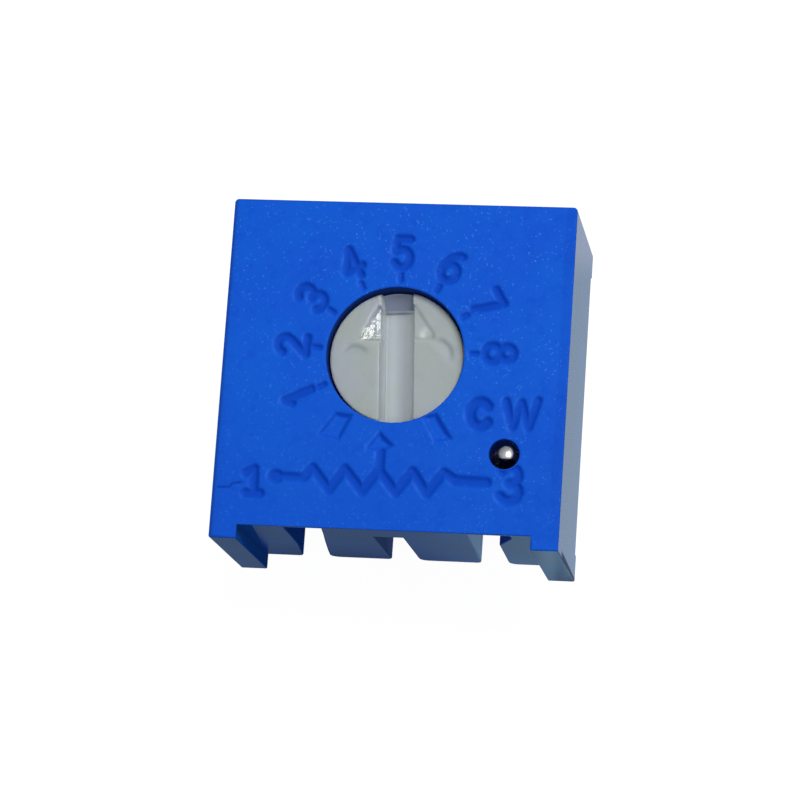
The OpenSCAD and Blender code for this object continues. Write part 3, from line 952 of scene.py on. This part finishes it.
def head_points():
    """Sample points over the head, close together at its edges and soft walls, in the rotor's axes."""
    along = [(side * (SLOT_HALF + d), y) for side in (-1, 1) for d in WALL_ROWS
             for y in np.arange(-1.82, 1.83, ROW_PITCH)]
    across = [(x, SLOT_END + d) for d in WALL_ROWS for x in np.arange(-0.4, 0.41, ROW_PITCH)]
    rows = np.array(along + across)
    rows = rows[np.hypot(rows[:, 0], rows[:, 1]) < HEAD_R - 0.05]
    field = grid(-1.85, 1.85, -1.85, 1.85, HEAD_PITCH)
    from_side = np.abs(field[:, 0]) - SLOT_HALF
    by_end = (from_side < 0) & (np.abs(field[:, 1] - SLOT_END) < 0.08)
    keep = (np.abs(from_side) > 0.08) & ~by_end & (np.hypot(field[:, 0], field[:, 1]) < HEAD_R - 0.06)
    rings = [((HEAD_R - d) * math.cos(t), (HEAD_R - d) * math.sin(t)) for d in EDGE_RINGS
             for t in np.arange(0, 2 * math.pi, math.radians(1.5))]
    return np.concatenate([field[keep], rows, np.array(rings)])


def head_surface(bm, rim):
    turn = np.array(Matrix.Rotation(-REST_TURN, 2))
    lines = [(i, (i + 1) % len(rim)) for i in range(len(rim))]
    coords, faces, sources = triangulated(rim, head_points() @ turn, lines, 1)
    own = coords @ turn.T
    shares = {name: mask(own) for name, mask in ROTOR_MASKS.items()}
    made = raised(bm, rim, coords, sources, ROTOR_Z, rotor_height(own), shares)
    for face in faces:
        bm.faces.new([made[i] for i in face])


# ---------------------------------------------------------------- wire end in the vent

# Axis of the wire, and the height at which its own end is cut away
POST = (3.064, -2.395)
END_CUT = 3.4
# Slope of the end to the right and to the top, reached END_RISE above the cut
END_TILT, END_RISE = (0.053, -0.198), 0.2
# Radius of the end's doming
END_CROWN = 1.2
# How far out, as a share of the wire's radius, and how high the end's rounding goes
END_PROFILE = [(1.0, 3.58), (0.98, 3.63), (0.93, 3.67), (0.86, 3.69)]
DOME_SHARES = (0.7, 0.5, 0.3, 0.12)


def wire_end(material):
    """The right terminal, with the end that shows in the vent cut a little askew and slightly domed."""
    bm = clean_copy("terminal_3")
    ring = cut_above(bm, END_CUT)
    centre = Vector(POST)
    spokes = [v.co.xy - centre for v in ring]
    radius = spokes[0].length
    share, height = END_PROFILE[-1]
    top = height + sag(share * radius)
    for share, height in END_PROFILE + [(share, top - sag(share * radius)) for share in DOME_SHARES]:
        tilt = smooth((height - END_CUT) / END_RISE)
        out = [spoke * share for spoke in spokes]
        lift = [-(END_TILT[0] * o.x + END_TILT[1] * o.y) * tilt for o in out]
        upper = [bm.verts.new((centre.x + o.x, centre.y + o.y, height + h)) for o, h in zip(out, lift)]
        wall_between(bm, ring, upper)
        ring = upper
    bm.faces.new(ring)
    return finish_piece(bm, "wire_end", CASE, "terminal_3", material)


def sag(out):
    """How far the domed end lies below its top at a distance from its middle."""
    return out ** 2 / (2 * END_CROWN)


# ---------------------------------------------------------------- studio

KEY_PLACE, KEY_SIZE, KEY_POWER = (0.095, 0.085, 0.27), 0.12, 0.67
FRONT_PLACE, FRONT_SIZE, FRONT_POWER = (0.028, -0.072, 0.28), 0.05, 0.1
# Strength of the air as light, as seen in reflections, and as seen directly
AIR_LIGHT, AIR_SHINE, AIR_SEEN = 0.22, 0.26, 0.95
AIR_COLOUR = (0.93, 0.97, 1.0, 1.0)
FLOOR_REACH = 1.5
FLOOR_GAP = 0.01
BLACK = (0, 0, 0, 1)
# The paper as seen, and as light that it gives back to the part
PAPER_SEEN, PAPER_GLOW, PAPER_LIGHT = (0.14, 0.14, 0.14, 1), (0.95, 0.95, 0.95, 1), (0.11, 0.13, 0.15, 1)
# Colours of the paper's painted glow, seen only in reflections: under the blocks, under the groove walls, and
# to the right
UNDER_BLOCKS, UNDER_GROOVES = (0.6, 0.97, 0.9, 1), (0.42, 0.68, 0.95, 1)
BESIDE_LOW, BESIDE_TOP = (0.64, 0.81, 0.71, 1), (0.85, 0.98, 0.9, 1)


def soft_light(name, place, size, power):
    """A square lamp that looks at the middle of the part."""
    lamp = bpy.data.lights.new(name, "AREA")
    lamp.shape, lamp.size, lamp.size_y = "RECTANGLE", size, size
    lamp.energy = power
    piece = bpy.data.objects.new(name, lamp)
    piece.location = place
    piece.rotation_mode = "QUATERNION"
    piece.rotation_quaternion = (-Vector(place)).to_track_quat("-Z", "Y")
    bpy.context.scene.collection.objects.link(piece)


def studio():
    floor_sheet()
    studio_air()
    soft_light("key", KEY_PLACE, KEY_SIZE, KEY_POWER)
    soft_light("front", FRONT_PLACE, FRONT_SIZE, FRONT_POWER)


def floor_sheet():
    z = (TIP_Z - FLOOR_GAP) * MM
    ends = (-FLOOR_REACH, FLOOR_REACH)
    corners = [(x, y, z) for y in ends for x in ends]
    mesh = bpy.data.meshes.new("floor")
    mesh.from_pydata(corners, [], [(0, 1, 3, 2)])
    floor = bpy.data.objects.new("floor", mesh)
    bpy.context.scene.collection.objects.link(floor)
    wear(floor, floor_paper())


def studio_air():
    world = bpy.data.worlds.new("studio_air")
    world.use_nodes = True
    air = Nodes(world.node_tree)
    seen = air.node("ShaderNodeLightPath", output="Is Camera Ray")
    shiny = air.node("ShaderNodeLightPath", output="Is Glossy Ray")
    strength = seen.step(0, 1, shiny.step(0, 1, AIR_LIGHT, AIR_SHINE), AIR_SEEN)
    air.feed(air.tree.nodes["Background"].inputs, {"Strength": strength, "Color": AIR_COLOUR})
    bpy.context.scene.world = world


def floor_paper():
    """Pale paper. It glows a little where it is looked at, and gives less light back to the part. To
    reflected rays it shows a painted glow in patches, a painted reflection in the part's undersides and right
    side.
    """
    f = Finish("floor_paper", Roughness=0.9, Specular_IOR_Level=0.1, Emission_Strength=1.0)
    seen = f.node("ShaderNodeLightPath", output="Is Camera Ray")
    shiny = f.node("ShaderNodeLightPath", output="Is Glossy Ray")
    f.drive("Base Color", f.blend(seen, f.blend(shiny, PAPER_LIGHT, BLACK), PAPER_SEEN))
    x, y, _ = f.parts(f.place())
    behind = y.step(-5.5, -5.3)
    near = under_blocks(x, y) * (1 - behind) + x.step(-0.9, 3.2, 0.0, 0.75) * behind
    below = f.blend(near, BLACK, f.blend(behind, UNDER_BLOCKS, UNDER_GROOVES))
    beside_part = f.blend(y.step(4.3, 5.3), BESIDE_LOW, BESIDE_TOP)
    glow = f.blend(shiny, BLACK, f.blend(x.step(4.4, 4.9), below, beside_part))
    f.drive("Emission Color", f.blend(seen, glow, PAPER_GLOW))
    return f.material


def under_blocks(x, y):
    """Painted reflection: glow that the paper shows only to reflected rays, which the blocks' undersides
    mirror; stronger to the right, and most by the foot.
    """
    near = x.step(-1.0, 3.2, 0.31, 0.49) * y.step(-5.5, -5.95, 0.65, 1.0).most(x.step(1.2, 2.4) * 0.95)
    near = near + x.step(3.2, 3.6) * y.step(-6.05, -6.35) * 0.3
    return near - (x.step(3.75, 3.95) - x.step(4.0, 4.25) * 0.8) * 0.2


FOCAL_LENGTH, SENSOR_WIDTH = 153.17, 36.0
# Turn of the camera about each axis, in degrees, and its place
EYE_TURN = (-12.6, -8.55, -2.95)
EYE_PLACE = (0.014353, -0.020961, 0.093873)


def camera():
    """Looks down on the front face from slightly below and to the right, tilted as held."""
    lens = bpy.data.cameras.new("camera")
    lens.lens, lens.sensor_width = FOCAL_LENGTH, SENSOR_WIDTH
    lens.clip_start, lens.clip_end = 0.002, 10.0
    eye = bpy.data.objects.new("camera", lens)
    tilt = Vector(math.radians(a) for a in EYE_TURN)
    turn = Matrix.Rotation(tilt.length, 3, tilt.normalized()).transposed()
    eye.matrix_world = Matrix.Translation(Vector(EYE_PLACE)) @ turn.to_4x4()
    bpy.context.scene.collection.objects.link(eye)
    bpy.context.scene.camera = eye


# ---------------------------------------------------------------- build

camera()
studio()
bpy.context.scene.view_settings.view_transform = "Standard"

housing_shell(moulded_blue())
rotor_head(moulded_white())

# CAD nodes that stay as they are, by finish
KEPT = {
    seal_rubber: ["o_ring"],
    spring_alloy: ["wiper"],
    alumina: ["ceramic_substrate"],
    fired_glaze: ["resistive_track"],
    fired_silver: ["collector_pad", "end_pad_1", "end_pad_3"],
    solder: ["solder_joint_1", "solder_joint_2", "solder_joint_3"],
    cast_resin: ["epoxy_seal"],
}
for finish, nodes in KEPT.items():
    material = finish()
    for node in nodes:
        wear(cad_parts[node], material)
tin = tinned_wire()
for node in ("terminal_1", "terminal_2"):
    wear(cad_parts[node], tin)
wire_end(tin)
